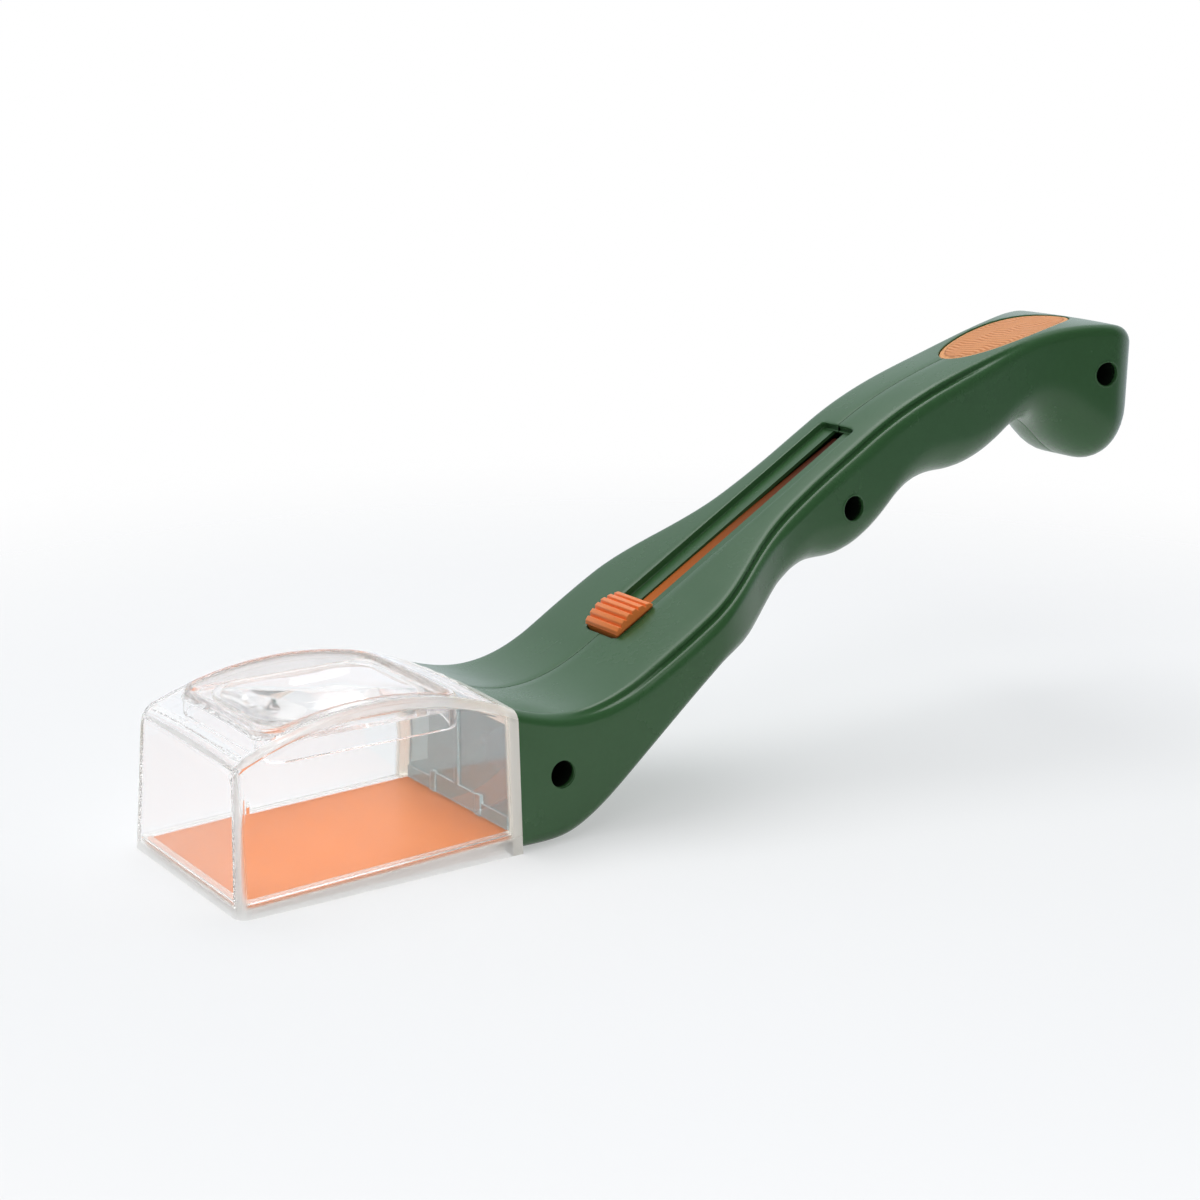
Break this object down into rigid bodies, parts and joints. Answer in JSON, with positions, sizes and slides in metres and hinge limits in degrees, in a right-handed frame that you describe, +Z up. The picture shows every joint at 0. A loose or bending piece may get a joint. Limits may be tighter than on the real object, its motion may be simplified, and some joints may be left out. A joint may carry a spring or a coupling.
{
  "type": "insect catcher",
  "caption": "Hand-held insect catcher: clear box with magnifier lid and a thumb-operated sliding door under it, on a curved hollow grip.",
  "frame": {"origin": "centre of the whole object's bounding box in plan, at the level of the box's lower rim", "axes": "+X from the clear box to the end of the grip, +Y to the side without screw heads, +Z up"},
  "size_m": [0.279, 0.055, 0.1058],
  "materials": {
    "clear_shell": "clear, glossy moulded plastic",
    "lens": "clear, polished lens",
    "orange_sheet": "thin flexible sheet, satin",
    "orange_button": "moulded, satin",
    "orange_inlay": "fine wavy ribs, satin",
    "green_handle": "fine grain, satin",
    "screw": "dark oxide"
  },
  "bodies": {
    "housing": {"capture_chamber": "clear_shell", "chamber_back_wall": "clear_shell", "lens_frame": "clear_shell", "magnifier_lens": "lens", "door_strap": "orange_sheet", "handle_shell_left": "green_handle", "handle_shell_right": "green_handle", "handle_screw_front": "screw", "handle_screw_middle": "screw", "handle_screw_rear": "screw", "thumb_inlay": "orange_inlay"},
    "slider": {"slider_button": "orange_button", "slider_carriage": "orange_button", "slider_screw": "screw"},
    "door": {"door_sheet": "orange_sheet"}
  },
  "joints": [
    {"name": "slider_travel", "type": "slide", "parent": "housing", "child": "slider", "axis": [0.8603, 0, 0.5098], "range_m": [0, 0.0725], "deforming": ["door_strap"]},
    {"name": "door_travel", "type": "slide", "parent": "housing", "child": "door", "axis": [0.9996, 0, 0.0282], "range_m": [0, 0.0725], "deforming": ["door_sheet"]}
  ],
  "couplings": [
    {"joint": "door_travel", "follows": "slider_travel", "ratio": 1}
  ]
}
